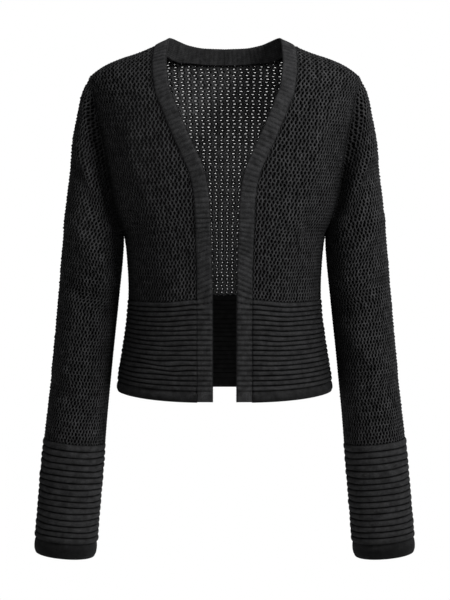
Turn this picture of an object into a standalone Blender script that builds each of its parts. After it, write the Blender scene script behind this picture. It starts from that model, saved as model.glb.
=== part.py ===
"""Open-front cropped cardigan in mesh knit, hollow, in the form it has when worn.

The frame has +Z up, +X to the wearer's left and the front facing -Y. Its origin lies midway between
the two highest points of the neck edge. Sizes are in millimetres and become metres in add_wall.

One shell of coarse patches gives the whole garment's shape. Patches share their points along each
seam. Each piece of cloth is a wall grown inwards from its own patch, drawn back a little at the seams.
"""

import math
from collections import namedtuple

import bpy
import numpy as np

MM = 0.001
COLLECTION = "knit_jacket"

# Cloth
WALL = 2.5
SEAM_GAP = 0.3

# Body, in heights below the neck point
UNDERARM_Z = -265.0
WELT_TOP_Z = -356.0
HEM_Z = -487.0
HEM_RISE_AT_SIDE = 7.0
HEM_RISE_POWER = 3
SECTION_POWER = 2.3
SHOULDER_DROP = 120.0

# Neck and front band
NECK_SEAM_X = 95.5
NECK_SEAM_Z = -10.0
BAND_WIDTH = 20.5
BACK_NECK_LEAN = 0.7
BACK_NECK_LEAN_POINTS = 3
WELT_RISE_AT_BAND = 5.0
WELT_RISE_REACH = 30.0

# Sleeve
SHOULDER_TIP_X = 184.0
SHOULDER_TIP_Z = -52.0
SLEEVE_POWER = 2.1
SLEEVE_FORWARD = 10.0
SLEEVE_FILL_RINGS = 5

# Rolls and ribs
WELT_ROLLS = 18
WELT_PLAIN = 14.0
CUFF_ROLLS = 16
CUFF_PLAIN = 20.0
ROLL_HEIGHT = 1.6
EDGE_HEIGHT = 1.0
RIB_PITCH = 6.6
RIB_HEIGHT = 1.1
FOLD_SIDE_FADE = 25.0

# Mesh
ARMHOLE_STEPS = 10
SHOULDER_STEPS = 7
BACK_NECK_STEPS = 6
SIDE_STEPS = 3
SLEEVE_STEPS = 18
WELT_STEPS = 5
CUFF_STEPS = 6
FINE_STEPS = 60

Section = namedtuple("Section", "z half_width front back")
BODY = [
    Section(-20, 199.0, 88, 78),
    Section(-51, 194.0, 94, 84),
    Section(-90, 179.0, 102, 92),
    Section(-140, 168.5, 109, 97),
    Section(-190, 160.0, 112, 97),
    Section(-225, 154.0, 112, 95),
    Section(-250, 146.0, 110, 92),
    Section(-265, 138.5, 109, 90),
    Section(-291, 134.5, 106, 87),
    Section(-341, 131.8, 102, 84),
    Section(-366, 132.5, 101, 85),
    Section(-407, 137.0, 102, 90),
    Section(-457, 144.5, 105, 96),
    Section(-487, 149.0, 107, 99),
]

Armhole = namedtuple("Armhole", "z x")
ARMHOLE = [
    Armhole(-52, 184.0),
    Armhole(-75, 178.0),
    Armhole(-110, 171.0),
    Armhole(-140, 165.0),
    Armhole(-170, 160.0),
    Armhole(-200, 155.5),
    Armhole(-225, 150.5),
    Armhole(-250, 143.5),
    Armhole(-265, 138.5),
]

Ridge = namedtuple("Ridge", "x z")
SHOULDER_RIDGE = [
    Ridge(0, 25.0),
    Ridge(30, 20.0),
    Ridge(55, 11.5),
    Ridge(76, 0.5),
    Ridge(95.5, -10.0),
    Ridge(118, -19.5),
    Ridge(143, -27.8),
    Ridge(162, -36.0),
    Ridge(176, -45.0),
    Ridge(184, -52.0),
    Ridge(200, -70.0),
]

FrontSeam = namedtuple("FrontSeam", "z x")
FRONT_SEAM = [
    FrontSeam(-10, 95.5),
    FrontSeam(-36, 97.5),
    FrontSeam(-74, 93.0),
    FrontSeam(-99, 83.5),
    FrontSeam(-131, 70.5),
    FrontSeam(-163, 56.0),
    FrontSeam(-181, 48.0),
    FrontSeam(-200, 43.0),
    FrontSeam(-222, 40.3),
    FrontSeam(-255, 39.0),
    FrontSeam(-340, 36.7),
    FrontSeam(-487, 36.5),
]

NeckSeam = namedtuple("NeckSeam", "x z")
BACK_NECK_SEAM = [
    NeckSeam(0, -29.5),
    NeckSeam(30, -28.5),
    NeckSeam(57, -24.0),
    NeckSeam(73, -18.5),
    NeckSeam(85, -13.5),
    NeckSeam(95.5, -10.0),
]

# The outer (top) and inner (underarm) lines of the arm, ring by ring from the armhole to the cuff's edge
Ring = namedtuple("Ring", "outer_x outer_z inner_x inner_z half_depth")
SLEEVE = [
    Ring(184.0, -52.0, 138.5, -265.0, 40),
    Ring(195.5, -75.0, 138.7, -271.5, 46),
    Ring(202.0, -105.0, 138.9, -279.0, 51),
    Ring(208.5, -140.0, 139.2, -287.0, 54),
    Ring(212.0, -180.0, 139.9, -297.0, 55),
    Ring(217.0, -222.0, 141.0, -310.0, 55),
    Ring(221.0, -266.0, 142.8, -327.0, 54),
    Ring(225.5, -312.0, 145.2, -349.5, 53),
    Ring(229.2, -358.0, 148.3, -380.0, 52),
    Ring(233.5, -405.0, 152.5, -418.0, 51),
    Ring(238.2, -452.0, 156.8, -461.5, 50),
    Ring(243.0, -499.0, 161.3, -507.5, 50),
    Ring(248.7, -546.0, 165.3, -554.5, 50),
]
CUFF_END = Ring(263.0, -702.0, 178.5, -710.0, 49)

# Soft folds: a line on the cloth seen from the front, how wide and how far it lies out (+) or in (-)
Fold = namedtuple("Fold", "face x0 z0 x1 z1 width height")
FRONT, BACK = -1, 1
FOLDS = [
    Fold(FRONT, 150, -130, 118, -262, 13, -5.0),
    Fold(FRONT, 134, -150, 104, -300, 17, 3.5),
    Fold(FRONT, 118, -215, 96, -345, 12, -3.0),
    Fold(FRONT, 88, -250, 70, -350, 22, 2.5),
    Fold(BACK, 148, -140, 112, -285, 15, -5.0),
    Fold(BACK, 118, -150, 84, -330, 20, 3.5),
    Fold(BACK, 52, -210, 66, -345, 18, -3.0),
    Fold(BACK, 20, -250, 30, -350, 20, 2.5),
    Fold(FRONT, 200, -180, 166, -238, 11, -5.0),
    Fold(FRONT, 206, -250, 158, -330, 14, 4.0),
    Fold(FRONT, 214, -330, 164, -372, 11, -4.5),
    Fold(FRONT, 168, -400, 214, -450, 13, 3.5),
    Fold(FRONT, 232, -470, 178, -520, 12, -3.0),
    Fold(BACK, 202, -160, 160, -262, 13, -5.0),
    Fold(BACK, 212, -290, 162, -352, 12, 4.0),
    Fold(BACK, 222, -370, 166, -420, 12, -4.0),
    Fold(BACK, 170, -440, 228, -500, 14, 3.0),
]


def smooth(rows, value):
    """A smooth curve through a table's rows: its first column gives the place, the named one the value."""
    rows = sorted(rows, key=lambda row: row[0])
    place = np.array([row[0] for row in rows], float)
    level = np.array([getattr(row, value) for row in rows], float)
    step = np.diff(place)
    slope = np.diff(level) / step
    tangent = np.empty_like(level)
    tangent[0], tangent[-1] = slope[0], slope[-1]
    same_way = slope[:-1] * slope[1:] > 0
    mean = 2 * slope[:-1] * slope[1:] / np.where(same_way, slope[:-1] + slope[1:], 1)
    tangent[1:-1] = np.where(same_way, mean, 0)

    def at(where):
        where = np.clip(np.asarray(where, float), place[0], place[-1])
        i = np.clip(np.searchsorted(place, where) - 1, 0, len(step) - 1)
        t = (where - place[i]) / step[i]
        return (
            (1 + 2 * t) * (1 - t) ** 2 * level[i]
            + t * (1 - t) ** 2 * step[i] * tangent[i]
            + t**2 * (3 - 2 * t) * level[i + 1]
            + t**2 * (t - 1) * step[i] * tangent[i + 1]
        )

    return at


half_width = smooth(BODY, "half_width")
front_depth = smooth(BODY, "front")
back_depth = smooth(BODY, "back")
armhole_x = smooth(ARMHOLE, "x")
ridge_z = smooth(SHOULDER_RIDGE, "z")
front_seam_x = smooth(FRONT_SEAM, "x")
back_seam_z = smooth(BACK_NECK_SEAM, "z")


def ease(t):
    t = np.clip(t, 0, 1)
    return t * t * (3 - 2 * t)


def unit(vectors):
    return vectors / np.linalg.norm(vectors, axis=-1, keepdims=True)


def body_y(x, z, face):
    """How far the body stands out at (x, z): a rounded section that closes over the shoulder's ridge."""
    depth = np.where(face < 0, front_depth(z), back_depth(z))
    across = 1 - np.clip(np.abs(x) / half_width(z), 0, 1) ** SECTION_POWER
    down = np.clip((ridge_z(np.abs(x)) - z) / SHOULDER_DROP, 0, 1)
    over = 1 - (1 - down) ** SECTION_POWER
    return face * depth * (across * over) ** (1 / SECTION_POWER)


def body_normal(point, face):
    """The outward direction of the body's surface, from the slopes of the level that it lies on."""

    def level(x, y, z):
        depth = front_depth(z) if face < 0 else back_depth(z)
        across = 1 - (abs(x) / half_width(z)) ** SECTION_POWER
        down = min(1.0, (ridge_z(abs(x)) - z) / SHOULDER_DROP)
        over = 1 - (1 - down) ** SECTION_POWER
        return (abs(y) / depth) ** SECTION_POWER - across * over

    step = 0.5 * np.eye(3)
    return unit(np.array([level(*(point + d)) - level(*(point - d)) for d in step]))


def on_body(x, z, face):
    return np.stack([x, body_y(x, z, face), z], axis=-1)


def spread(curve, shares):
    """Points along a fine curve, at these shares of its length."""
    ends = np.concatenate([[0], np.cumsum(np.linalg.norm(np.diff(curve, axis=0), axis=1))])
    return np.stack([np.interp(np.array(shares) * ends[-1], ends, c) for c in curve.T], axis=-1)


def row_curve(start_x, start_z, end_x, end_z, face, bend, top):
    """A fine row across the body between two points. bend 1 follows the top edge's shape, 0 is straight."""
    share = np.sin(np.linspace(0, math.pi / 2, FINE_STEPS))
    x = start_x + (end_x - start_x) * share
    straight = start_z + (end_z - start_z) * share
    below = top(x) - (top(start_x) + (top(end_x) - top(start_x)) * share)
    return on_body(x, straight + bend * below, face)


def front_row_z(step):
    """The height at the neck seam of each row from the shoulder to the underarm, close together at the top."""
    last = 2 * math.pi / 3
    share = (1 - math.cos(last * step / ARMHOLE_STEPS)) / (1 - math.cos(last))
    return NECK_SEAM_Z + (UNDERARM_Z - NECK_SEAM_Z) * share


def armhole_points(face):
    """The armhole from the shoulder tip to the underarm, down the front or the back."""
    turn = np.linspace(0, math.pi, ARMHOLE_STEPS + 1)
    z = SHOULDER_TIP_Z + (UNDERARM_Z - SHOULDER_TIP_Z) * (1 - np.cos(turn)) / 2
    points = on_body(armhole_x(z), z, face)
    points[[0, -1], 1] = 0
    return points


def shoulder_points():
    """The shoulder seam from the neck to the shoulder tip."""
    x = np.linspace(NECK_SEAM_X, SHOULDER_TIP_X, SHOULDER_STEPS + 1)
    z = ridge_z(x)
    z[-1] = SHOULDER_TIP_Z
    return np.stack([x, np.zeros_like(x), z], axis=-1)


def back_neck_points():
    """The back neck seam from centre back to the shoulder."""
    x = NECK_SEAM_X * np.sin(np.linspace(0, math.pi / 2, FINE_STEPS))
    curve = on_body(x, back_seam_z(x), BACK)
    curve[-1, 1] = 0
    return spread(curve, np.linspace(0, 1, BACK_NECK_STEPS + 1))


def lower_heights():
    """Row heights below the underarm: down the panel's side, then down the welt."""
    side = np.linspace(UNDERARM_Z, WELT_TOP_Z, SIDE_STEPS + 1)[1:]
    welt = np.linspace(WELT_TOP_Z, HEM_Z, WELT_STEPS + 1)[1:]
    return np.concatenate([side, welt])


def lower_row(start_x, z, face, shares):
    """A row below the underarm. Near the hem it rises to the side seam, at the welt's top to the band."""
    curve = row_curve(start_x, z, half_width(z), z, face, 0, ridge_z)
    curve[-1, 1] = 0
    hemward = np.clip((WELT_TOP_Z - z) / (WELT_TOP_Z - HEM_Z), 0, 1)
    near_side = (np.abs(curve[:, 0]) / half_width(z)) ** HEM_RISE_POWER
    curve[:, 2] += HEM_RISE_AT_SIDE * hemward * near_side
    if face == FRONT:
        near_band = np.exp(-(((curve[:, 0] - start_x) / WELT_RISE_REACH) ** 2))
        panelward = np.clip((z - UNDERARM_Z) / (WELT_TOP_Z - UNDERARM_Z), 0, 1)
        curve[:, 2] += WELT_RISE_AT_BAND * (1 - hemward) * panelward * near_band
    return spread(curve, shares)


def front_grid():
    """Rows from the shoulder to the hem, columns from the band's seam to the armhole and side."""
    armhole = armhole_points(FRONT)
    shares = np.linspace(0, 1, SHOULDER_STEPS + 1)
    rows = [shoulder_points()]
    for step in range(1, ARMHOLE_STEPS + 1):
        z = front_row_z(step)
        bend = 1 - ease(step / ARMHOLE_STEPS)
        end = armhole[step]
        curve = row_curve(front_seam_x(z), z, end[0], end[2], FRONT, bend, ridge_z)
        curve[-1] = end
        rows.append(spread(curve, shares))
    for z in lower_heights():
        rows.append(lower_row(front_seam_x(z), z, FRONT, shares))
    return np.array(rows)


def back_half_grid():
    """Rows from the neck and shoulder to the hem, columns from centre back to the armhole and side."""
    armhole = armhole_points(BACK)
    top = np.concatenate([back_neck_points(), shoulder_points()[1:]])
    lengths = np.concatenate([[0], np.cumsum(np.linalg.norm(np.diff(top, axis=0), axis=1))])
    even = np.linspace(0, 1, len(top))
    centre_z = back_seam_z(0)

    def top_edge(x):
        return np.where(x < NECK_SEAM_X, back_seam_z(x), ridge_z(x))

    rows = [top]
    for step in range(1, ARMHOLE_STEPS + 1):
        share = (front_row_z(step) - NECK_SEAM_Z) / (UNDERARM_Z - NECK_SEAM_Z)
        z = centre_z + (UNDERARM_Z - centre_z) * share
        bend = 1 - ease(step / ARMHOLE_STEPS)
        end = armhole[step]
        curve = row_curve(0.0, z, end[0], end[2], BACK, bend, top_edge)
        curve[-1] = end
        mix = ease(step / (ARMHOLE_STEPS / 2))
        rows.append(spread(curve, (1 - mix) * lengths / lengths[-1] + mix * even))
    for z in lower_heights():
        rows.append(lower_row(0.0, z, BACK, even))
    return np.array(rows)


def sleeve_grid():
    """Rings from the armhole to the cuff's edge. Columns run from the top over the front to the underarm
    and back over the back."""
    front, back = armhole_points(FRONT), armhole_points(BACK)
    armhole = np.concatenate([front, back[-2:0:-1]])
    turn = np.arange(2 * ARMHOLE_STEPS) * math.pi / ARMHOLE_STEPS
    cos, sin = np.cos(turn), -np.sin(turn)
    rounded = 2 / SLEEVE_POWER
    along = np.sign(cos) * np.abs(cos) ** rounded
    out = np.sign(sin) * np.abs(sin) ** rounded
    first = SLEEVE[0]
    chord = np.stack(
        [
            (first.outer_x + first.inner_x) / 2 + (first.outer_x - first.inner_x) / 2 * cos,
            (first.outer_z + first.inner_z) / 2 + (first.outer_z - first.inner_z) / 2 * cos,
        ],
        axis=-1,
    )
    bow = armhole[:, [0, 2]] - chord
    sections = [ring_at(SLEEVE, k / SLEEVE_STEPS) for k in range(1, SLEEVE_STEPS + 1)]
    sections += [ring_at([SLEEVE[-1], CUFF_END], k / CUFF_STEPS) for k in range(1, CUFF_STEPS + 1)]
    rings = [armhole]
    for k, ring in enumerate(sections, 1):
        fill = ease(k / SLEEVE_FILL_RINGS)
        spread_out = (1 - fill) * cos + fill * along
        forward = -SLEEVE_FORWARD * k / len(sections)
        x = (ring.outer_x + ring.inner_x) / 2 + (ring.outer_x - ring.inner_x) / 2 * spread_out
        z = (ring.outer_z + ring.inner_z) / 2 + (ring.outer_z - ring.inner_z) / 2 * spread_out
        y = (1 - fill) * armhole[:, 1] + fill * ring.half_depth * out + forward
        x = x + (1 - fill) * bow[:, 0]
        z = z + (1 - fill) * bow[:, 1]
        rings.append(np.stack([x, y, z], axis=-1))
    return np.array(rings)


def ring_at(rings, share):
    """The ring this share of the way through a table of rings."""
    place = share * (len(rings) - 1)
    i = min(int(place), len(rings) - 2)
    return Ring(*[a + (b - a) * (place - i) for a, b in zip(rings[i], rings[i + 1])])


def band_grid(front, back_half):
    """The band from the hem up the front, over the shoulder and round to centre back: its seam, then its edge."""
    up = front[::-1, 0]
    round_neck = back_half[0, BACK_NECK_STEPS - 1 :: -1]
    seam = np.concatenate([up, round_neck])
    tangent = unit(np.gradient(seam, axis=0))
    tangent[-1] = [-1, 0, 0]
    faces = [FRONT] * len(up) + [BACK] * len(round_neck)
    normal = np.array([body_normal(p, f) for p, f in zip(seam, faces)])
    inward = unit(np.cross(normal, tangent))
    lean = np.minimum(np.arange(1, len(round_neck) + 1) / BACK_NECK_LEAN_POINTS, 1)
    inward[len(up) :, 2] += BACK_NECK_LEAN * lean
    return np.stack([seam, seam + BAND_WIDTH * unit(inward)], axis=1)


def mirrored(grid):
    return grid * np.array([-1, 1, 1])


def fold_height(points):
    """How far the folds move the cloth, point by point."""
    x, y, z = np.abs(points[..., 0]), points[..., 1], points[..., 2]
    height = np.zeros_like(x)
    for fold in FOLDS:
        start = np.array([fold.x0, fold.z0])
        run = np.array([fold.x1, fold.z1]) - start
        along = ((x - start[0]) * run[0] + (z - start[1]) * run[1]) / (run @ run)
        near = np.clip(along, 0, 1)
        away = np.hypot(x - start[0] - near * run[0], z - start[1] - near * run[1])
        facing = ease(fold.face * y / FOLD_SIDE_FADE)
        height += fold.height * facing * np.exp(-((away / fold.width) ** 2))
    return height


Patch = namedtuple("Patch", "grid closed flip")


def shell_normals(patches):
    """Outward directions at every point of the joined shell, one array for each patch."""
    found, faces = {}, []
    numbers = {}
    for name, patch in patches.items():
        keys = [tuple(key) for key in np.round(patch.grid.reshape(-1, 3), 3) + 0.0]
        number = np.array([found.setdefault(key, len(found)) for key in keys])
        numbers[name] = number = number.reshape(patch.grid.shape[:2])
        if patch.closed:
            number = np.concatenate([number, number[:, :1]], axis=1)
        quads = [number[:-1, :-1], number[1:, :-1], number[1:, 1:], number[:-1, 1:]]
        quads = np.stack(quads, axis=-1).reshape(-1, 4)
        faces.append(quads[:, ::-1] if patch.flip else quads)
    points = np.array(list(found))
    faces = np.concatenate(faces)
    a, b, c, d = (points[faces[:, i]] for i in range(4))
    across = np.cross(c - a, d - b)
    total = np.zeros_like(points)
    for i in range(4):
        np.add.at(total, faces[:, i], across)
    normals = unit(total)
    return {name: normals[number] for name, number in numbers.items()}


def inwards(edge, next_line, normal, closed):
    """The direction square to an edge and to the cloth's thickness there, towards the next line of points."""
    if closed:
        tangent = np.roll(edge, -1, axis=0) - np.roll(edge, 1, axis=0)
    else:
        tangent = np.gradient(edge, axis=0)
    square = unit(np.cross(tangent, normal))
    return square * np.sign(((next_line - edge) * square).sum(axis=-1, keepdims=True))


def drawn_back(grid, normals, closed):
    """The patch with its edges moved half a seam gap inwards."""
    moved = grid.copy()
    half = SEAM_GAP / 2
    moved[0] += half * inwards(grid[0], grid[1], normals[0], closed)
    moved[-1] += half * inwards(grid[-1], grid[-2], normals[-1], closed)
    if not closed:
        moved[:, 0] += half * inwards(grid[:, 0], grid[:, 1], normals[:, 0], False)
        moved[:, -1] += half * inwards(grid[:, -1], grid[:, -2], normals[:, -1], False)
    return moved


def rows_at(grid, places):
    """The patch's rows at these fractional row numbers."""
    low = np.clip(np.floor(places).astype(int), 0, len(grid) - 2)
    part = (places - low)[:, None, None]
    return grid[low] * (1 - part) + grid[low + 1] * part


def zipped(first, first_places, second, second_places):
    """Triangles between two point runs that share their ends but not their steps."""
    faces, i, j = [], 0, 0
    while i < len(first) - 1 or j < len(second) - 1:
        ends_first = j == len(second) - 1
        if ends_first or (i < len(first) - 1 and first_places[i + 1] <= second_places[j + 1] + 1e-9):
            faces.append((first[i], first[i + 1], second[j]))
            i += 1
        else:
            faces.append((first[i], second[j + 1], second[j]))
            j += 1
    return faces


def triangles_of(number, closed):
    """Two triangles for each cell of a grid, always split along the same diagonal."""
    if closed:
        number = np.concatenate([number, number[:, :1]], axis=1)
    a, b, c, d = number[:-1, :-1], number[1:, :-1], number[1:, 1:], number[:-1, 1:]
    halves = np.stack([a, b, c, a, c, d], axis=-1).reshape(-1, 3)
    return [tuple(half) for half in halves]


def across_end(out, into, closed):
    """Triangles across a wall's end. A tube's front and back halves are both split from its top down."""
    if not closed:
        return triangles_of(np.stack([into, out]), False)
    half = len(out) // 2
    front = triangles_of(np.stack([into[: half + 1], out[: half + 1]]), False)
    down_back = np.concatenate([[0], np.arange(len(out) - 1, half - 1, -1)])
    back = triangles_of(np.stack([into[down_back], out[down_back]]), False)
    return front + [face[::-1] for face in back]


def add_wall(name, patch, normals, material, places=None, heights=None):
    """A closed cloth wall: its outer side follows the patch and carries any relief, its inner side is plain."""
    grid = drawn_back(patch.grid, normals, patch.closed)
    coarse = np.arange(len(grid), dtype=float)
    places = coarse if places is None else places
    heights = np.zeros(len(places)) if heights is None else heights
    outer = rows_at(grid, places) + rows_at(normals, places) * heights[:, None, None]
    inner = grid - WALL * normals
    columns = grid.shape[1]
    outside = np.arange(len(places) * columns).reshape(-1, columns)
    inside = outside.size + np.arange(inner.shape[0] * columns).reshape(-1, columns)
    faces = triangles_of(outside, patch.closed) + [f[::-1] for f in triangles_of(inside, patch.closed)]
    ends = [(outside[0], inside[0], False), (outside[-1], inside[-1], True)]
    for out, into, turned in ends:
        faces += [f[::-1] if turned else f for f in across_end(out, into, patch.closed)]
    if not patch.closed:
        faces += [f[::-1] for f in zipped(outside[:, 0], places, inside[:, 0], coarse)]
        faces += zipped(outside[:, -1], places, inside[:, -1], coarse)
    if patch.flip:
        faces = [f[::-1] for f in faces]
    points = np.concatenate([outer.reshape(-1, 3), inner.reshape(-1, 3)]) * MM
    mesh = bpy.data.meshes.new(name)
    mesh.from_pydata(points.tolist(), [], [tuple(int(i) for i in f) for f in faces])
    mesh.materials.append(material)
    piece = bpy.data.objects.new(name, mesh)
    bpy.data.collections[COLLECTION].objects.link(piece)
    return piece


def rolls(patch, count, plain):
    """Row places and heights of rolls across a patch: a groove, then a crest, down to a plain edge."""
    middle = patch.grid[:, patch.grid.shape[1] // 2]
    length = np.linalg.norm(np.diff(middle, axis=0), axis=1).sum()
    end = len(patch.grid) - 1
    last = end * (1 - plain / length)
    places = np.linspace(0, last, 2 * count + 1)
    heights = np.where(np.arange(len(places)) % 2, ROLL_HEIGHT, 0.0)
    return np.concatenate([places, [(last + end) / 2, end]]), np.concatenate([heights, [EDGE_HEIGHT, 0.0]])


def ribs(patch):
    """Row places and heights of the ribs along a band, evenly spaced along its seam."""
    seam = patch.grid[:, 0]
    ends = np.concatenate([[0], np.cumsum(np.linalg.norm(np.diff(seam, axis=0), axis=1))])
    count = int(round(ends[-1] / RIB_PITCH))
    lengths = np.linspace(0, ends[-1], 2 * count + 1)
    places = np.interp(lengths, ends, np.arange(len(seam)))
    heights = np.where(np.arange(len(places)) % 2, RIB_HEIGHT, 0.0)
    return places, heights


def black_yarn(name, lightness, roughness):
    """A matt black cotton yarn."""
    material = bpy.data.materials.new(name)
    material.use_nodes = True
    shader = material.node_tree.nodes["Principled BSDF"]
    shader.inputs["Base Color"].default_value = (lightness, lightness, lightness * 1.03, 1)
    shader.inputs["Roughness"].default_value = roughness
    shader.inputs["Metallic"].default_value = 0.0
    return material


def clear_scene():
    for old in list(bpy.data.objects):
        bpy.data.objects.remove(old, do_unlink=True)
    bpy.context.scene.collection.children.link(bpy.data.collections.new(COLLECTION))


def garment_patches():
    """Every patch of the shell, for both sides, by the piece that it shapes."""
    front, back_half, sleeve = front_grid(), back_half_grid(), sleeve_grid()
    band = band_grid(front, back_half)
    back = np.concatenate([mirrored(back_half)[:, :0:-1], back_half], axis=1)
    welt_row = ARMHOLE_STEPS + SIDE_STEPS
    down_front = np.arange(ARMHOLE_STEPS + 1)
    down_back = np.concatenate([[0], np.arange(2 * ARMHOLE_STEPS - 1, ARMHOLE_STEPS - 1, -1)])
    arm = sleeve[: SLEEVE_STEPS + 1]
    patches = {
        "back_panel": Patch(back[: welt_row + 1], False, True),
        "back_welt": Patch(back[welt_row:], False, True),
    }
    for side, turn in (("left", False), ("right", True)):
        place = mirrored if turn else np.copy
        patches[side + "_front_panel"] = Patch(place(front[: welt_row + 1]), False, turn)
        patches[side + "_front_welt"] = Patch(place(front[welt_row:]), False, turn)
        patches[side + "_sleeve_front"] = Patch(place(arm[:, down_front]), False, not turn)
        patches[side + "_sleeve_back"] = Patch(place(arm[:, down_back]), False, turn)
        patches[side + "_cuff"] = Patch(place(sleeve[SLEEVE_STEPS:]), True, not turn)
        patches[side + "_band"] = Patch(place(band), False, turn)
    return patches


def main():
    clear_scene()
    patches = garment_patches()
    normals = shell_normals(patches)
    for name, patch in patches.items():
        folded = patch.grid + normals[name] * fold_height(patch.grid)[..., None]
        patches[name] = patch._replace(grid=folded)
    normals = shell_normals(patches)
    mesh_yarn = black_yarn("mesh_yarn", 0.012, 0.8)
    roll_yarn = black_yarn("roll_yarn", 0.014, 0.75)
    band_yarn = black_yarn("band_yarn", 0.015, 0.75)
    for name, patch in patches.items():
        if name.endswith("welt"):
            relief, yarn = rolls(patch, WELT_ROLLS, WELT_PLAIN), roll_yarn
        elif name.endswith("cuff"):
            relief, yarn = rolls(patch, CUFF_ROLLS, CUFF_PLAIN), roll_yarn
        elif name.endswith("band"):
            relief, yarn = ribs(patch), band_yarn
        else:
            relief, yarn = (None, None), mesh_yarn
        add_wall(name, patch, normals[name], yarn, *relief)


main()
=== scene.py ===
"""Looks of the open-front knit jacket: open mesh, rolled welts and cuffs, ribbed bands, light.

The frame has +Z up, +X to the wearer's left and the front facing -Y. Sizes are in millimetres and become
metres in add_piece. The form is that of the CAD solids, from the same tables, worked out finer.
"""

import math
from collections import namedtuple

import bpy
import numpy as np
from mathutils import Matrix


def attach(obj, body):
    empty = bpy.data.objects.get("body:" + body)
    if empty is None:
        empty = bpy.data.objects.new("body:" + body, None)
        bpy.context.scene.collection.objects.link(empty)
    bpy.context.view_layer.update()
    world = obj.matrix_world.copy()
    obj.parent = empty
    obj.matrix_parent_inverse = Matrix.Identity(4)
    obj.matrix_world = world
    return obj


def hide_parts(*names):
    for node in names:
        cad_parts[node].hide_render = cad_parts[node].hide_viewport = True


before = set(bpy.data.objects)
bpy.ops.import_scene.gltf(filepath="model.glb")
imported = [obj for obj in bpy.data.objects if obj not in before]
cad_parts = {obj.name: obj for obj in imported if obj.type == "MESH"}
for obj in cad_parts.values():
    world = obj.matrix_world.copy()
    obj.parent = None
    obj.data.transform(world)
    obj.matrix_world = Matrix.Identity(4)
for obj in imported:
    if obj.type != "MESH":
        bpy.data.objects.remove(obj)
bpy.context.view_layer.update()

MM = 0.001
FRONT, BACK = -1, 1

# Form of the jacket, as in the CAD source
WALL = 2.5
UNDERARM_Z = -265.0
WELT_TOP_Z = -356.0
HEM_Z = -487.0
HEM_RISE_AT_SIDE = 7.0
HEM_RISE_POWER = 3
SECTION_POWER = 2.3
SHOULDER_DROP = 120.0
NECK_SEAM_X = 95.5
NECK_SEAM_Z = -10.0
BAND_WIDTH = 20.5
BACK_NECK_LEAN = 0.7
WELT_RISE_AT_BAND = 5.0
WELT_RISE_REACH = 30.0
SHOULDER_TIP_X = 184.0
SHOULDER_TIP_Z = -52.0
SLEEVE_POWER = 2.1
SLEEVE_FORWARD = 10.0
SLEEVE_FILL_RINGS = 5
SLEEVE_RINGS = 18
ALL_RINGS = 24
WELT_ROLLS = 18
WELT_PLAIN = 14.0
CUFF_ROLLS = 16
CUFF_PLAIN = 20.0
FOLD_SIDE_FADE = 25.0

Section = namedtuple("Section", "z half_width front back")
BODY = [Section(*row) for row in (
    (-20, 199.0, 88, 78), (-51, 194.0, 94, 84), (-90, 179.0, 102, 92), (-140, 168.5, 109, 97),
    (-190, 160.0, 112, 97), (-225, 154.0, 112, 95), (-250, 146.0, 110, 92), (-265, 138.5, 109, 90),
    (-291, 134.5, 106, 87), (-341, 131.8, 102, 84), (-366, 132.5, 101, 85), (-407, 137.0, 102, 90),
    (-457, 144.5, 105, 96), (-487, 149.0, 107, 99),
)]

Edge = namedtuple("Edge", "z x")
ARMHOLE = [Edge(*row) for row in (
    (-52, 184.0), (-75, 178.0), (-110, 171.0), (-140, 165.0), (-170, 160.0), (-200, 155.5),
    (-225, 150.5), (-250, 143.5), (-265, 138.5),
)]
FRONT_SEAM = [Edge(*row) for row in (
    (-10, 95.5), (-36, 97.5), (-74, 93.0), (-99, 83.5), (-131, 70.5), (-163, 56.0),
    (-181, 48.0), (-200, 43.0), (-222, 40.3), (-255, 39.0), (-340, 36.7), (-487, 36.5),
)]

Ridge = namedtuple("Ridge", "x z")
SHOULDER_RIDGE = [Ridge(*row) for row in (
    (0, 25.0), (30, 20.0), (55, 11.5), (76, 0.5), (95.5, -10.0), (118, -19.5),
    (143, -27.8), (162, -36.0), (176, -45.0), (184, -52.0), (200, -70.0),
)]
BACK_NECK_SEAM = [Ridge(*row) for row in (
    (0, -29.5), (30, -28.5), (57, -24.0), (73, -18.5), (85, -13.5), (95.5, -10.0),
)]

# The arm's outer (top) and inner (underarm) lines: place 0 is the armhole, 18 the cuff's top, 24 its edge
Ring = namedtuple("Ring", "place outer_x outer_z inner_x inner_z half_depth")
SLEEVE = [
    Ring(0.0, 184.0, -52.0, 138.5, -265.0, 40),
    Ring(1.5, 195.5, -75.0, 138.7, -271.5, 46),
    Ring(3.0, 202.0, -105.0, 138.9, -279.0, 51),
    Ring(4.5, 208.5, -140.0, 139.2, -287.0, 54),
    Ring(6.0, 212.0, -180.0, 139.9, -297.0, 55),
    Ring(7.5, 217.0, -222.0, 141.0, -310.0, 55),
    Ring(9.0, 221.0, -266.0, 142.8, -327.0, 54),
    Ring(10.5, 225.5, -312.0, 145.2, -349.5, 53),
    Ring(12.0, 229.2, -358.0, 148.3, -380.0, 52),
    Ring(13.5, 233.5, -405.0, 152.5, -418.0, 51),
    Ring(15.0, 238.2, -452.0, 156.8, -461.5, 50),
    Ring(16.5, 243.0, -499.0, 161.3, -507.5, 50),
    Ring(18.0, 248.7, -546.0, 165.3, -554.5, 50),
    Ring(24.0, 263.0, -702.0, 178.5, -710.0, 49),
]

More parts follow.
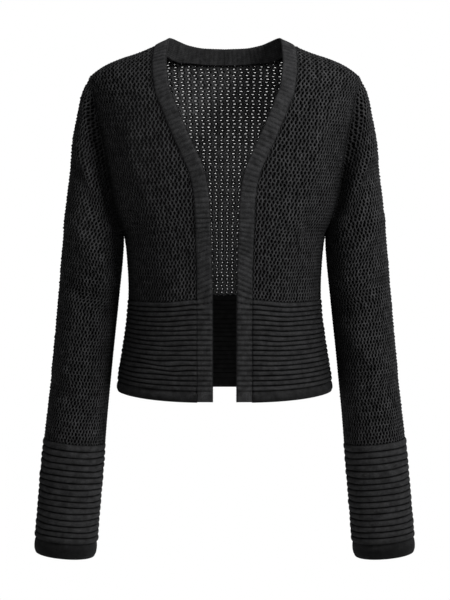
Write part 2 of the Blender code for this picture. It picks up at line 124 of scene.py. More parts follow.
Fold = namedtuple("Fold", "face x0 z0 x1 z1 width height")
FOLDS = [
    Fold(FRONT, 150, -130, 118, -262, 13, -5.0),
    Fold(FRONT, 134, -150, 104, -300, 17, 3.5),
    Fold(FRONT, 118, -215, 96, -345, 12, -3.0),
    Fold(FRONT, 88, -250, 70, -350, 22, 2.5),
    Fold(BACK, 148, -140, 112, -285, 15, -5.0),
    Fold(BACK, 118, -150, 84, -330, 20, 3.5),
    Fold(BACK, 52, -210, 66, -345, 18, -3.0),
    Fold(BACK, 20, -250, 30, -350, 20, 2.5),
    Fold(FRONT, 200, -180, 166, -238, 11, -5.0),
    Fold(FRONT, 206, -250, 158, -330, 14, 4.0),
    Fold(FRONT, 214, -330, 164, -372, 11, -4.5),
    Fold(FRONT, 168, -400, 214, -450, 13, 3.5),
    Fold(FRONT, 232, -470, 178, -520, 12, -3.0),
    Fold(BACK, 202, -160, 160, -262, 13, -5.0),
    Fold(BACK, 212, -290, 162, -352, 12, 4.0),
    Fold(BACK, 222, -370, 166, -420, 12, -4.0),
    Fold(BACK, 170, -440, 228, -500, 14, 3.0),
]

# The mesh: wales run up the cloth, rows across it
BACK_WALES = 25
FRONT_WALES = 39
SLEEVE_WALES = 62
ROW = 4.7

# Rolls, ribs and edges
ROLL_HEIGHT = 1.6
GROOVE_DEPTH = 1.2
ROLL_ROUND = 0.34
ROLL_WANDER = 0.26
ROLL_STEPS = (0, 0.09, 0.21, 0.35, 0.5, 0.65, 0.79, 0.91)
RIB_PITCH = 6.75
BAND_PLAIN = 14.5
RIB_HEIGHT = 1.0
COLUMN = 4.0
INNER_MAP = 200.0


def smooth(rows, value):
    """A smooth curve through a table's rows: its first column gives the place, the named one the value."""
    rows = sorted(rows, key=lambda row: row[0])
    place = np.array([row[0] for row in rows], float)
    level = np.array([getattr(row, value) for row in rows], float)
    step = np.diff(place)
    slope = np.diff(level) / step
    tangent = np.empty_like(level)
    tangent[0], tangent[-1] = slope[0], slope[-1]
    same_way = slope[:-1] * slope[1:] > 0
    mean = 2 * slope[:-1] * slope[1:] / np.where(same_way, slope[:-1] + slope[1:], 1)
    tangent[1:-1] = np.where(same_way, mean, 0)

    def at(where):
        where = np.clip(np.asarray(where, float), place[0], place[-1])
        i = np.clip(np.searchsorted(place, where) - 1, 0, len(step) - 1)
        t = (where - place[i]) / step[i]
        return (
            (1 + 2 * t) * (1 - t) ** 2 * level[i]
            + t * (1 - t) ** 2 * step[i] * tangent[i]
            + t**2 * (3 - 2 * t) * level[i + 1]
            + t**2 * (t - 1) * step[i] * tangent[i + 1]
        )

    return at


half_width = smooth(BODY, "half_width")
front_depth = smooth(BODY, "front")
back_depth = smooth(BODY, "back")
armhole_x = smooth(ARMHOLE, "x")
ridge_z = smooth(SHOULDER_RIDGE, "z")
front_seam_x = smooth(FRONT_SEAM, "x")
back_seam_z = smooth(BACK_NECK_SEAM, "z")
ring_line = {name: smooth(SLEEVE, name) for name in Ring._fields[1:]}


def ease(t):
    t = np.clip(t, 0, 1)
    return t * t * (3 - 2 * t)


def unit(vectors):
    return vectors / np.linalg.norm(vectors, axis=-1, keepdims=True)


def lengths_along(points):
    """Distances along a run of points, from 0 at its first."""
    return np.concatenate([[0], np.cumsum(np.linalg.norm(np.diff(points, axis=0), axis=1))])


def along(points, lengths, where):
    """The run's points at these distances along it."""
    return np.stack([np.interp(where, lengths, c) for c in points.T], axis=-1)


def body_y(x, z, face):
    depth = np.where(face < 0, front_depth(z), back_depth(z))
    across = 1 - np.clip(np.abs(x) / half_width(z), 0, 1) ** SECTION_POWER
    down = np.clip((ridge_z(np.abs(x)) - z) / SHOULDER_DROP, 0, 1)
    over = 1 - (1 - down) ** SECTION_POWER
    return face * depth * (across * over) ** (1 / SECTION_POWER)


def on_body(x, z, face):
    return np.stack([x, body_y(x, z, face), z], axis=-1)


def neck_drop(x):
    """How far the back's net starts below the band's own line, mostly towards the shoulders."""
    return 5.5 * np.exp(-(((np.abs(x) - 72) / 18) ** 2))


def net_top_z(x):
    return back_seam_z(x) - neck_drop(x)


def slope_of(field, points):
    """The field's slope at the points, along X, Y and Z."""
    moves = 0.5 * np.eye(3)
    return np.stack([field(points + move) - field(points - move) for move in moves], axis=-1)


def body_normals(points, face):
    """Outward directions of the body's surface."""

    def level(p):
        x, y, z = np.abs(p[..., 0]), np.abs(p[..., 1]), p[..., 2]
        depth = front_depth(z) if face == FRONT else back_depth(z)
        across = 1 - (x / half_width(z)) ** SECTION_POWER
        down = np.minimum(1.0, (ridge_z(x) - z) / SHOULDER_DROP)
        over = 1 - (1 - down) ** SECTION_POWER
        return (y / depth) ** SECTION_POWER - across * over

    return unit(slope_of(level, points))


def fold_height(points):
    """How far the folds move the cloth, point by point."""
    x, y, z = np.abs(points[..., 0]), points[..., 1], points[..., 2]
    height = np.zeros_like(x)
    for fold in FOLDS:
        run_x, run_z = fold.x1 - fold.x0, fold.z1 - fold.z0
        share = ((x - fold.x0) * run_x + (z - fold.z0) * run_z) / (run_x**2 + run_z**2)
        near = np.clip(share, 0, 1)
        away = np.hypot(x - fold.x0 - near * run_x, z - fold.z0 - near * run_z)
        facing = ease(fold.face * y / FOLD_SIDE_FADE)
        height += fold.height * facing * np.exp(-((away / fold.width) ** 2))
    return height


def folded(points, normals):
    """Points and outward directions after the folds have moved the cloth."""
    slope = slope_of(fold_height, points)
    flat_slope = slope - (slope * normals).sum(axis=-1, keepdims=True) * normals
    return points + normals * fold_height(points)[..., None], unit(normals - flat_slope)


class Cloth:
    """A fine grid of points, outward directions and the room left to the cloth's edges.

    It is read at any (wale, row). A mirrored cloth has its centre line at wale 0, a closed one is a tube.
    """

    def __init__(self, points, normals, room, wale_step, row_step, first_row=0.0, mirror=False, closed=False):
        data = np.concatenate([points, normals, room[..., None]], axis=-1)
        self.data = np.concatenate([data, data[:1]]) if closed else data
        self.wale_step, self.row_step, self.first_row = wale_step, row_step, first_row
        self.mirror, self.closed = mirror, closed

    def at(self, wale, row):
        place = np.abs(wale) if self.mirror else np.asarray(wale, float)
        i = place / self.wale_step
        j = (row - self.first_row) / self.row_step
        if self.closed:
            i = i % (len(self.data) - 1)
        low_i = np.clip(np.floor(i).astype(int), 0, self.data.shape[0] - 2)
        low_j = np.clip(np.floor(j).astype(int), 0, self.data.shape[1] - 2)
        a = (i - low_i)[..., None]
        b = (j - low_j)[..., None]
        d = self.data
        near = d[low_i, low_j] * (1 - b) + d[low_i, low_j + 1] * b
        far = d[low_i + 1, low_j] * (1 - b) + d[low_i + 1, low_j + 1] * b
        found = near * (1 - a) + far * a
        if self.mirror:
            turn = np.where(wale < 0, -1.0, 1.0)
            found[..., 0] *= turn
            found[..., 3] *= turn
        return found[..., :3], unit(found[..., 3:6]), found[..., 6]


BELOW = 6.0
ROW_STEP = 1 / 3
LINE_POINTS = 240
NET_START = -1.0


def net_grid(lines, zero_lengths):
    """Each line's points row by row up from its own start, and how many rows it has."""
    measured = [lengths_along(line) - zero for line, zero in zip(lines, zero_lengths)]
    tops = np.array([m[-1] for m in measured]) / ROW
    rows = np.arange(NET_START, tops.max() + 1, ROW_STEP)
    points = np.array([along(line, m, rows * ROW) for line, m in zip(lines, measured)])
    return points, rows, tops


def body_cloth(face):
    """A quarter of the body above the welt, from the centre line round to the side, as a net's cloth."""
    wales = FRONT_WALES if face == FRONT else BACK_WALES
    halves = np.arange(0, wales + 0.1, 0.5)
    turns = np.linspace(0, math.pi / 2, 181)
    heights = np.linspace(-380, 30, 83)
    depth_at = front_depth if face == FRONT else back_depth
    line_x = []
    for z in heights:
        x = half_width(z) * np.sin(turns) ** (2 / SECTION_POWER)
        y = depth_at(z) * np.cos(turns) ** (2 / SECTION_POWER)
        share = lengths_along(np.stack([x, y], axis=-1))
        line_x.append(np.interp(halves / wales, share / share[-1], x))
    line_x = np.array(line_x)

    def top_edge(x):
        at_neck = face == BACK and x < NECK_SEAM_X
        return float(net_top_z(x) if at_neck else ridge_z(x))

    lines, zeros = [], []
    for column in line_x.T:
        top = 0.0
        for _ in range(40):
            top = top_edge(np.interp(top, heights, column))
        start = WELT_TOP_Z
        if face == FRONT:
            off = np.interp(start, heights, column) - front_seam_x(start)
            start += WELT_RISE_AT_BAND * math.exp(-((off / WELT_RISE_REACH) ** 2))
        bottom = start - BELOW
        z = top - (top - bottom) * np.linspace(1, 0, LINE_POINTS) ** 2
        line = on_body(np.interp(z, heights, column), z, face)
        lines.append(line)
        zeros.append(np.interp(start, z, lengths_along(line)))
    points, rows, tops = net_grid(lines, zeros)
    x, z = points[..., 0], points[..., 2]
    room = np.minimum(armhole_x(z) - x, (wales - halves)[:, None] * 7)
    room = np.minimum(room, (tops[:, None] - rows) * ROW)
    if face == FRONT:
        room = np.minimum(room, x - front_seam_x(z))
    points, normals = folded(points, body_normals(points, face))
    return Cloth(points, normals, room, 0.5, ROW_STEP, rows[0], mirror=face == BACK)


TURNS = 144
PLACE_STEP = 0.1
ARMHOLE_STEPS = 10
ArmholeDepth = namedtuple("ArmholeDepth", "turn front back")


def armhole_depth(turn, face):
    """How far the armhole lies from y 0, through the CAD's own points: round at the top and the underarm."""
    rows = []
    for step in range(ARMHOLE_STEPS + 1):
        at = math.pi * step / ARMHOLE_STEPS
        z = SHOULDER_TIP_Z + (UNDERARM_Z - SHOULDER_TIP_Z) * (1 - math.cos(at)) / 2
        inner = 0 < step < ARMHOLE_STEPS
        depths = [body_y(armhole_x(z), z, side) ** 2 if inner else 0.0 for side in (FRONT, BACK)]
        rows.append(ArmholeDepth(at, *depths))
    down = np.arccos(np.clip(np.cos(turn), -1, 1))
    squared = np.where(face < 0, smooth(rows, "front")(down), smooth(rows, "back")(down))
    return face * np.sqrt(np.maximum(squared, 0))


def sleeve_surface():
    """The arm's tube from the armhole to the cuff's edge, read at (turn number, place)."""
    turn = (np.arange(TURNS) * 2 * math.pi / TURNS)[:, None]
    place = np.arange(0, ALL_RINGS + PLACE_STEP / 2, PLACE_STEP)[None]
    ring = {name: line(place) for name, line in ring_line.items()}
    cos, sin = np.cos(turn), -np.sin(turn)
    arm_z = SHOULDER_TIP_Z + (UNDERARM_Z - SHOULDER_TIP_Z) * (1 - cos) / 2
    arm_x = armhole_x(arm_z)
    arm_y = armhole_depth(turn, np.sign(sin))
    rounded = 2 / SLEEVE_POWER
    out_along = np.sign(cos) * np.abs(cos) ** rounded
    out_front = np.sign(sin) * np.abs(sin) ** rounded
    first = SLEEVE[0]
    bow_x = arm_x - ((first.outer_x + first.inner_x) + (first.outer_x - first.inner_x) * cos) / 2
    bow_z = arm_z - ((first.outer_z + first.inner_z) + (first.outer_z - first.inner_z) * cos) / 2
    fill = ease(place / SLEEVE_FILL_RINGS)
    reach = (1 - fill) * cos + fill * out_along
    forward = -SLEEVE_FORWARD * place / ALL_RINGS
    x = (ring["outer_x"] + ring["inner_x"]) / 2 + (ring["outer_x"] - ring["inner_x"]) / 2 * reach
    z = (ring["outer_z"] + ring["inner_z"]) / 2 + (ring["outer_z"] - ring["inner_z"]) / 2 * reach
    y = (1 - fill) * arm_y + fill * ring["half_depth"] * out_front + forward
    points = np.stack([x + (1 - fill) * bow_x, y, z + (1 - fill) * bow_z], axis=-1)
    normals = tube_normals(points)
    points = points + normals * fold_height(points)[..., None]
    return Cloth(points, tube_normals(points), np.zeros(x.shape), 1.0, PLACE_STEP, closed=True)


def tube_normals(points):
    """Outward directions of a tube's grid, whose first index goes round it."""
    round_it = np.roll(points, -1, axis=0) - np.roll(points, 1, axis=0)
    down_it = np.gradient(points, axis=1)
    normals = unit(np.cross(round_it, down_it))
    outward = points - points.mean(axis=0, keepdims=True)
    return normals * np.sign((normals * outward).sum(axis=-1).mean())


def sleeve_cloth(surface):
    """The sleeve as a net's cloth: wales evenly round its cross-section, rows up from the cuff."""
    halves = np.arange(0, SLEEVE_WALES, 0.5)
    places = np.arange(0, SLEEVE_RINGS + 0.41, PLACE_STEP)
    turns = np.arange(TURNS + 1)
    grid, _, _ = surface.at(np.repeat(turns[:, None], len(places), 1), np.repeat(places[None], TURNS + 1, 0))
    middle = grid[:-1].mean(axis=0)
    axis = unit(np.gradient(middle, axis=0))
    turn_at = []
    for n in range(len(places)):
        ring = grid[:, n]
        square = ring - (ring @ axis[n])[:, None] * axis[n]
        share = lengths_along(square)
        turn_at.append(np.interp(halves / SLEEVE_WALES, share / share[-1], turns))
    turn_at = np.array(turn_at).T
    lines, normals_at, zeros = [], [], []
    upward = places[::-1]
    for turn in turn_at:
        line, _, _ = surface.at(turn[::-1], upward)
        lines.append(line)
        zeros.append(np.interp(-SLEEVE_RINGS, -upward, lengths_along(line)))
    points, rows, tops = net_grid(lines, zeros)
    room = (tops[:, None] - rows) * ROW
    for line, zero, turn in zip(lines, zeros, turn_at):
        measured = lengths_along(line) - zero
        place = np.interp(rows * ROW, measured, upward)
        _, normals, _ = surface.at(np.interp(rows * ROW, measured, turn[::-1]), place)
        normals_at.append(normals)
    return Cloth(points, np.array(normals_at), room, 0.5, ROW_STEP, rows[0], closed=True)


class Path:
    """A line on the cloth, read at (distance across it, distance along it)."""

    def __init__(self, points, normals):
        self.points, self.normals = points, normals
        self.lengths = lengths_along(points)
        self.total = self.lengths[-1]
        self.side = unit(np.cross(unit(np.gradient(points, axis=0)), normals))

    def at(self, across, where):
        point, normal, side = (
            np.stack([np.interp(where, self.lengths, c) for c in field.T], axis=-1)
            for field in (self.points, self.normals, self.side)
        )
        return point + side * across[..., None], unit(normal)


class Mesh:
    """Faces gathered for one piece, each corner with its place on the map that the materials read."""

    def __init__(self):
        self.points, self.faces, self.maps, self.count = [], [], [], 0

    def add(self, points, faces, maps):
        self.points.append(points.reshape(-1, 3))
        self.faces += [(f.reshape(-1, f.shape[-1]) + self.count) for f in faces]
        self.maps += [m.reshape(-1, 2) for m in maps]
        self.count += self.points[-1].shape[0]

    def triangles(self):
        return sum(len(f) * (f.shape[1] - 2) for f in self.faces)


LEG_SIDES = 4
LEG_FLATTENED = 0.9
TWIST_LENGTH = 2.2
LEG_MAP_WIDTH = 0.25


def add_legs(mesh, path, controls, thick):
    """Yarn legs along the path, each through its three (across, along, height) controls."""
    point, normal = path.at(controls[..., 0], controls[..., 1])
    centre = point + normal * controls[..., 2:]
    start, middle, end = (centre[:, i] for i in range(3))
    run = unit(np.stack([middle - start, end - start, end - middle], axis=1))
    side = unit(np.cross(run, normal))
    lift = np.cross(side, run)
    deep = thick * LEG_FLATTENED
    turn = 2 * math.pi * np.arange(LEG_SIDES) / LEG_SIDES
    rings = np.stack([centre + side * thick * math.cos(a) + lift * deep * math.sin(a) for a in turn], axis=2)
    legs = len(rings)
    number = np.arange(rings[..., 0].size).reshape(legs, 3, LEG_SIDES)
    ahead = np.roll(number, -1, axis=2)
    walls = np.stack([number[:, :-1], number[:, 1:], ahead[:, 1:], ahead[:, :-1]], axis=-1)
    caps = np.stack([number[:, 0], number[:, -1, ::-1]], axis=1)
    lengths = np.linalg.norm(np.diff(centre, axis=1), axis=-1)
    v = np.concatenate([np.zeros((legs, 1)), np.cumsum(lengths, axis=1)], axis=1) / TWIST_LENGTH
    u0 = LEG_MAP_WIDTH * np.arange(LEG_SIDES) / LEG_SIDES
    u1 = u0 + LEG_MAP_WIDTH / LEG_SIDES
    low, high = v[:, :-1, None], v[:, 1:, None]
    uv = [(u0, low), (u0, high), (u1, high), (u1, low)]
    uv = np.stack([np.stack(np.broadcast_arrays(a, b), -1) for a, b in uv], -2)
    mesh.add(rings, [walls, caps], [uv, np.zeros((legs * 2 * LEG_SIDES, 2))])


# Zigzag is the rows' shift to and fro in wales, tip how far a cell's points reach past its sides in rows,
# across and down the hole outside as shares of its cell, slit_across and slit_down the same within the yarn,
# and the last field 1 where the cell is closed as painted shade: a dark cap in its hole, its inner face
# painted near black.
Net = namedtuple("Net", "zigzag tip across down slit_across slit_down shut")
# Heights above the CAD's outer face, and how unevenly each thing lies, as the spread of a normal draw
TOP_HEIGHTS = (0.35, -0.5)
HOLE_HEIGHT = -0.85
WALL_HEIGHT = -1.4
INNER_HEIGHT = -2.0
WALE_UNEVEN = 0.035
TIP_UNEVEN = 0.045
TOP_UNEVEN = 0.3
HOLE_UNEVEN = 0.13
DEPTH_UNEVEN = 0.08
# The net's map: u tells the material how deep in the cell a corner lies, for the painted highlight on crowns
# and open cells' inner faces and the painted shade in holes; SHADED marks inner faces painted near black as
# shade
CROWN_U, HOLE_U, WALL_U, INSIDE_U, SHADED = 0.0, 0.4, 0.6, 0.8, 1.2
SIDE_V = 1.6
ROOM_STEP = 0.2
LONGEST_MOVE = 0.6
LEAST_ROOM = 0.5
LOOK = 0.3


def into_room(cloth, wale, row):
    """Moves what lies past the cloth's edge back onto it."""
    step = ROOM_STEP
    for _ in range(4):
        _, _, room = cloth.at(wale, row)
        by_wale = (cloth.at(wale + step, row)[2] - cloth.at(wale - step, row)[2]) / (2 * step)
        by_row = (cloth.at(wale, row + step)[2] - cloth.at(wale, row - step)[2]) / (2 * step)
        move = np.where(room < 0, -room / (by_wale**2 + by_row**2 + 1e-6), 0)
        wale = wale + np.clip(move * by_wale, -LONGEST_MOVE, LONGEST_MOVE)
        row = row + np.clip(move * by_row, -LONGEST_MOVE, LONGEST_MOVE)
    return wale, row


def mesh_net(mesh, cloth, wales, rows, net_at, seed):
    """The open mesh: six-sided cells, each with its hole, whose sides are the yarn between the holes."""
    rng = np.random.default_rng(seed)
    first, last = wales
    count = last - first
    side, j = np.meshgrid(np.arange(first, last + 1.0), np.arange(-1.0, rows), indexing="xy")
    sign = np.where(j % 2, -1.0, 1.0)
    place, _, _ = cloth.at(side, j)
    net = net_at(side, place)
    # layer 0 moves corners along the row, 1 their tips, 2 and 3 their heights; 4 only keeps the draws' order
    jitter = rng.normal(0, 1, (5,) + side.shape)
    if cloth.closed:
        jitter[:, :, -1] = jitter[:, :, 0]
        inner = 1.0
    else:
        inner = ((side > first) & (side < last)) * 1.0
    shift = inner * (sign * net.zigzag / 2 + WALE_UNEVEN * jitter[0])
    tip = net.tip + TIP_UNEVEN * jitter[1]
    corner_wale = np.stack([side + shift, side + shift])
    corner_row = np.stack([j - 0.5 + tip, j + 0.5 - tip])
    room = cloth.at(corner_wale, corner_row)[2]
    corner_wale, corner_row = into_room(cloth, corner_wale, corner_row)
    out = np.arange(room.size).reshape(room.shape)
    if cloth.closed:
        out[:, :, -1] = out[:, :, 0]
    # the corners of cell (k, n) from its lower left: its own four, and one each of the rows below and above
    k, n = np.meshgrid(np.arange(count), np.arange(1, side.shape[0] - 1), indexing="xy")
    between = k + (sign[n, k] > 0)
    corners = [(0, n, k), (1, n - 1, between), (0, n, k + 1), (1, n, k + 1), (0, n + 1, between), (1, n, k)]
    number = np.stack([out[c] for c in corners], -1)
    free = np.stack([room[c] for c in corners], -1)
    keep = free.max(axis=-1) > LEAST_ROOM
    number = number[keep]
    cell = np.stack([np.stack([corner_wale[c], corner_row[c]], -1) for c in corners], -2)[keep]
    cut = (free[keep] < 0).sum(axis=-1) > 1
    # the hole lies midway between the cell's own sides (its corners 0, 2, 3 and 5)
    middle = cell[:, [0, 2, 3, 5]].mean(axis=1, keepdims=True)
    wale, row = middle[:, 0, 0], middle[:, 0, 1]
    place, outward, _ = cloth.at(wale, row)
    net = net_at(wale, place)
    # closed cells and cells cut by the edge get painted shade: a dark cap in the hole and an inner face
    # painted near black
    shut = (net.shut > 0.5) | cut
    wobble = 1 + HOLE_UNEVEN * rng.normal(0, 1, (len(cell), 2))
    hole = (np.stack([net.across, net.down], -1) * wobble)[:, None]
    slit = (np.stack([net.slit_across, net.slit_down], -1) * wobble)[:, None]
    away = cell - middle
    # point groups in order: outer corners, inner corners, each cell's hole ring, each cell's slit ring
    lift = TOP_UNEVEN * jitter[2:4]
    point, normal, _ = cloth.at(corner_wale, corner_row)
    heights = (np.array(TOP_HEIGHTS)[:, None, None] + lift, INNER_HEIGHT + lift)
    groups = [point + normal * height[..., None] for height in heights]
    for where, height in ((middle + away * hole, HOLE_HEIGHT), (middle + away * slit, WALL_HEIGHT)):
        point, normal, _ = cloth.at(where[..., 0], where[..., 1])
        height = height + DEPTH_UNEVEN * rng.normal(0, 1, (len(cell), 1))
        groups.append(point + normal * height[..., None])
    points = np.concatenate([group.reshape(-1, 3) for group in groups])
    below = room.size
    top = 2 * below + np.arange(len(cell) * 6).reshape(-1, 6)
    wall = top + len(cell) * 6

    def band(a, b, u, to):
        """The six faces between two of a cell's rings."""
        quads = np.stack([a, np.roll(a, -1, 1), np.roll(b, -1, 1), b], -1)
        v = np.arange(6) * SIDE_V
        corner_uv = ((u, v), (u, v + SIDE_V), (to, v + SIDE_V), (to, v))
        uv = np.stack([np.stack([0 * v + x, y], -1) for x, y in corner_uv], -2)
        return quads, np.broadcast_to(uv, quads.shape + (2,))

    parts = [band(number, top, CROWN_U, HOLE_U), band(top, wall, HOLE_U, WALL_U)]
    parts.append(band(wall[~shut], number[~shut] + below, WALL_U, INSIDE_U))
    # the caps: the hole's dark cap at WALL_U, and the inner face at SHADED, painted near black as shade
    for cap, u in ((wall[shut], WALL_U), (number[shut][:, ::-1] + below, SHADED)):
        parts.append((cap, np.full(cap.shape + (2,), u)))
    # a rim closes every cell side that no neighbour shares
    edges = np.stack([number, np.roll(number, -1, 1)], -1).reshape(-1, 2)
    key = edges[:, 0] * below + edges[:, 1]
    reversed_key = edges[:, 1] * below + edges[:, 0]
    a, b = edges[~np.isin(key, reversed_key)].T
    rim = np.stack([b, a, a + below, b + below], -1)
    parts.append((rim, np.zeros(rim.shape + (2,))))
    across = cloth.at(wale + LOOK, row)[0] - cloth.at(wale - LOOK, row)[0]
    upward = cloth.at(wale, row + LOOK)[0] - cloth.at(wale, row - LOOK)[0]
    turned = (np.cross(across, upward) * outward).sum() < 0
    faces = [(f[..., ::-1] if turned else f).reshape(-1, f.shape[-1]) for f, _ in parts]
    maps = [(m[..., ::-1, :] if turned else m).reshape(-1, 2) for _, m in parts]
    used = np.unique(np.concatenate([f.ravel() for f in faces]))
    fresh = np.zeros(len(points), int)
    fresh[used] = np.arange(len(used))
    mesh.add(points[used], [fresh[f] for f in faces], maps)


# A V stitch's leg: shares of the half span across, of the pitch along and of the thickness up
LEG = ((0.3, -0.2, -0.5), (1.0, 0.5, 0.25), (0.9, 1.15, -0.3))


def chain(mesh, path, pitch, half_span, thick, height):
    """A line of V stitches along a seam or an edge."""
    count = max(2, int(round(path.total / pitch)))
    step = path.total / count
    j = np.arange(count)
    for side in (-1, 1):
        legs = [
            np.stack([side * half_span * across + 0 * j, (j + on) * step, height + up * thick + 0 * j], -1)
            for across, on, up in LEG
        ]
        legs = np.stack(legs, axis=-2)
        legs[..., 1] = np.clip(legs[..., 1], 0, path.total)
        add_legs(mesh, path, legs, thick)


def add_shell(mesh, outer, inner, rim, closed):
    """A closed wall between two equal grids. Its ends get one more line of points, moved by rim."""
    rows, columns = outer.shape[:2]
    low = (outer[0] + inner[0]) / 2 + rim[0]
    high = (outer[-1] + inner[-1]) / 2 + rim[1]
    grid = np.concatenate([outer, high[None], inner[::-1], low[None]])
    total = len(grid)
    number = np.arange(total * columns).reshape(total, columns)
    ahead = np.roll(number, -1, axis=0)
    if closed:
        walls = np.stack([number, ahead, np.roll(ahead, -1, 1), np.roll(number, -1, 1)], -1)
        faces, maps = [walls], [shell_map(total, columns, grid)]
    else:
        walls = np.stack([number[:, :-1], ahead[:, :-1], ahead[:, 1:], number[:, 1:]], -1)
        ends = []
        for column, turned in ((0, False), (columns - 1, True)):
            out = number[:rows, column]
            into = number[rows + 1 : 2 * rows + 1, column][::-1]
            quads = np.stack([out[:-1], into[:-1], into[1:], out[1:]], -1)
            ends.append(quads[:, ::-1] if turned else quads)
            lower, upper = number[rows, column], number[-1, column]
            tips = np.array([[out[-1], into[-1], lower], [into[0], out[0], upper]])
            ends.append(tips[:, ::-1] if turned else tips)
        faces = [walls] + ends
        maps = [shell_map(total, columns, grid)[:, :-1]] + [np.zeros((f.size, 2)) for f in ends]
    mesh.add(grid, faces, maps)


def shell_map(total, columns, grid):
    """Where each corner of the wall's faces lies, in millimetres across and down."""
    middle = grid[:, columns // 2]
    down = lengths_along(np.concatenate([middle, middle[:1]]))
    across = lengths_along(grid[0])
    across = np.concatenate([across, [across[-1] + COLUMN]])
    u, v = np.meshgrid(across, down)
    # the inner faces' map lies INNER_MAP further down, so the roll material can paint them darker as shade
    v[total // 2 + 1 :] += INNER_MAP
    corner = np.stack([u, v], -1)
    return np.stack([corner[:-1, :-1], corner[1:, :-1], corner[1:, 1:], corner[:-1, 1:]], -2)


def add_piece(name, mesh, material, turned=False):
    """Makes the gathered faces one object, mirrored to the wearer's right if turned."""
    points = np.concatenate(mesh.points) * MM
    if turned:
        points = points * [-1, 1, 1]
    way = -1 if turned else 1
    faces = [f[:, ::way] for f in mesh.faces]
    maps = [m.reshape(len(f), -1, 2)[:, ::way].reshape(-1, 2) for f, m in zip(mesh.faces, mesh.maps)]
    loops = np.concatenate([f.ravel() for f in faces]).astype(np.int32)
    sizes = np.concatenate([np.full(len(f), f.shape[1]) for f in faces]).astype(np.int32)
    data = bpy.data.meshes.new(name)
    data.vertices.add(len(points))
    data.vertices.foreach_set("co", points.astype(np.float32).ravel())
    data.loops.add(len(loops))
    data.loops.foreach_set("vertex_index", loops)
    data.polygons.add(len(sizes))
    data.polygons.foreach_set("loop_start", np.concatenate([[0], np.cumsum(sizes)[:-1]]).astype(np.int32))
    data.update(calc_edges=True)
    data.uv_layers.new(name="yarn").data.foreach_set("uv", np.concatenate(maps).astype(np.float32).ravel())
    data.polygons.foreach_set("use_smooth", np.ones(len(sizes), bool))
    data.update()
    data.validate(verbose=True)
    data.materials.append(material)
    piece = bpy.data.objects.new(name, data)
    bpy.context.scene.collection.objects.link(piece)
    print(name, mesh.triangles(), "triangles")
    return piece


# ------------------------------------------------------------------ rolls and ribs


def wavy(values, seed, waves, size):
    """A soft uneven line: a few sine waves of seeded length and phase."""
    rng = np.random.default_rng(seed)
    total = np.zeros(np.shape(values))
    for _ in range(waves):
        total = total + np.sin(np.asarray(values) * rng.uniform(0.5, 1.6) / size + rng.uniform(0, 6.3))
    return total / waves


def roll_rows(count, length, plain):
    """Row shares down a rolled wall and, for each, its phase: how many rolls lie above it."""
    last = 1 - plain / length
    phase = np.append((np.arange(count)[:, None] + np.array(ROLL_STEPS)).ravel(), count)
    edge = np.linspace(last, 1, 6)[1:]
    shares = np.concatenate([phase / count * last, edge])
    return shares, np.concatenate([phase, np.full(len(edge), count)]), len(phase)


def roll_drift(across, phase, seed):
    """How far the rolls wander down or up along their length, in millimetres, alike in neighbouring rolls."""
    rng = np.random.default_rng(seed)
    total = 0
    for _ in range(5):
        a, b, c = rng.uniform(0.02, 0.1), rng.uniform(0.3, 1.6), rng.uniform(0, 6.3)
        total = total + np.sin(across * a + phase[:, None] * b + c)
    return ROLL_WANDER * total * np.sin(math.pi * np.clip(phase / phase.max(), 0, 1))[:, None] ** 0.5


def roll_height(phase, across, seed, rolled_rows, peak, groove):
    """Rounded rolls with narrow grooves, uneven along their length, down to a plain edge."""
    rng = np.random.default_rng(seed)
    number = np.floor(phase + 1e-6).astype(int)
    strength = rng.normal(1, 0.1, number.max() + 2)[number][:, None]
    drift = wavy(across[None] + 37.0 * number[:, None], seed, 4, 22.0)
    bulge = np.abs(np.sin(math.pi * phase))[:, None] ** ROLL_ROUND
    depth = groove * (1 + 0.5 * wavy(across[None] * 1.7 + 53.0 * np.round(phase)[:, None], seed + 1, 4, 14.0))
    height = -depth + (peak * strength + depth) * bulge * (1 + 0.1 * drift)
    plain = np.arange(len(phase)) >= rolled_rows
    share = (np.arange(len(phase)) - rolled_rows + 1)[:, None] / max(1, plain.sum())
    edge = -groove + (0.8 + groove) * np.sin(math.pi * np.clip(share, 0, 1)) ** 0.5
    return np.where(plain[:, None], edge, height)


def welt_grid(face, shares, row_shares, phase, seed):
    """The welt's cloth: rows from its top to the hem, columns from the band or centre back to the side."""
    rows = []
    fine = np.sin(np.linspace(0, math.pi / 2, 160))
    for down in row_shares:
        z = WELT_TOP_Z + (HEM_Z - WELT_TOP_Z) * down
        start = float(front_seam_x(z)) if face == FRONT else 0.0
        x = start + (half_width(z) - start) * fine
        curve = on_body(x, np.full_like(x, z), face)
        curve[-1, 1] = 0
        curve[:, 2] += HEM_RISE_AT_SIDE * down * (x / half_width(z)) ** HEM_RISE_POWER
        if face == FRONT:
            curve[:, 2] += WELT_RISE_AT_BAND * (1 - down) * np.exp(-(((x - start) / WELT_RISE_REACH) ** 2))
        rows.append(along(curve, lengths_along(curve), shares * lengths_along(curve)[-1]))
    points = np.array(rows)
    from_band = points[..., 0] - points[:, :1, 0]
    calm = ease((from_band - 2) / 30) if face == FRONT else 1.0
    points[..., 2] += roll_drift(points[..., 0], phase, seed) * calm
    return folded(points, body_normals(points, face))


def rolled_wall(mesh, points, normals, phase, rolled_rows, seed, closed):
    across = lengths_along(points[0])
    outer = roll_height(phase, across, seed, rolled_rows, ROLL_HEIGHT, GROOVE_DEPTH)
    inner = roll_height(phase, across, seed + 50, rolled_rows, 0.9, 0.3)
    # the hem's own rim is round
    rim = (0.3 * unit(points[0] - points[1]), 0.9 * unit(points[-1] - points[-2]))
    outside = points + normals * outer[..., None]
    inside = points - normals * (WALL + inner[..., None])
    add_shell(mesh, outside, inside, rim, closed)


def seam_on(cloth, wales, rows):
    points, normals, _ = cloth.at(np.asarray(wales, float), np.asarray(rows, float))
    return Path(points, normals)


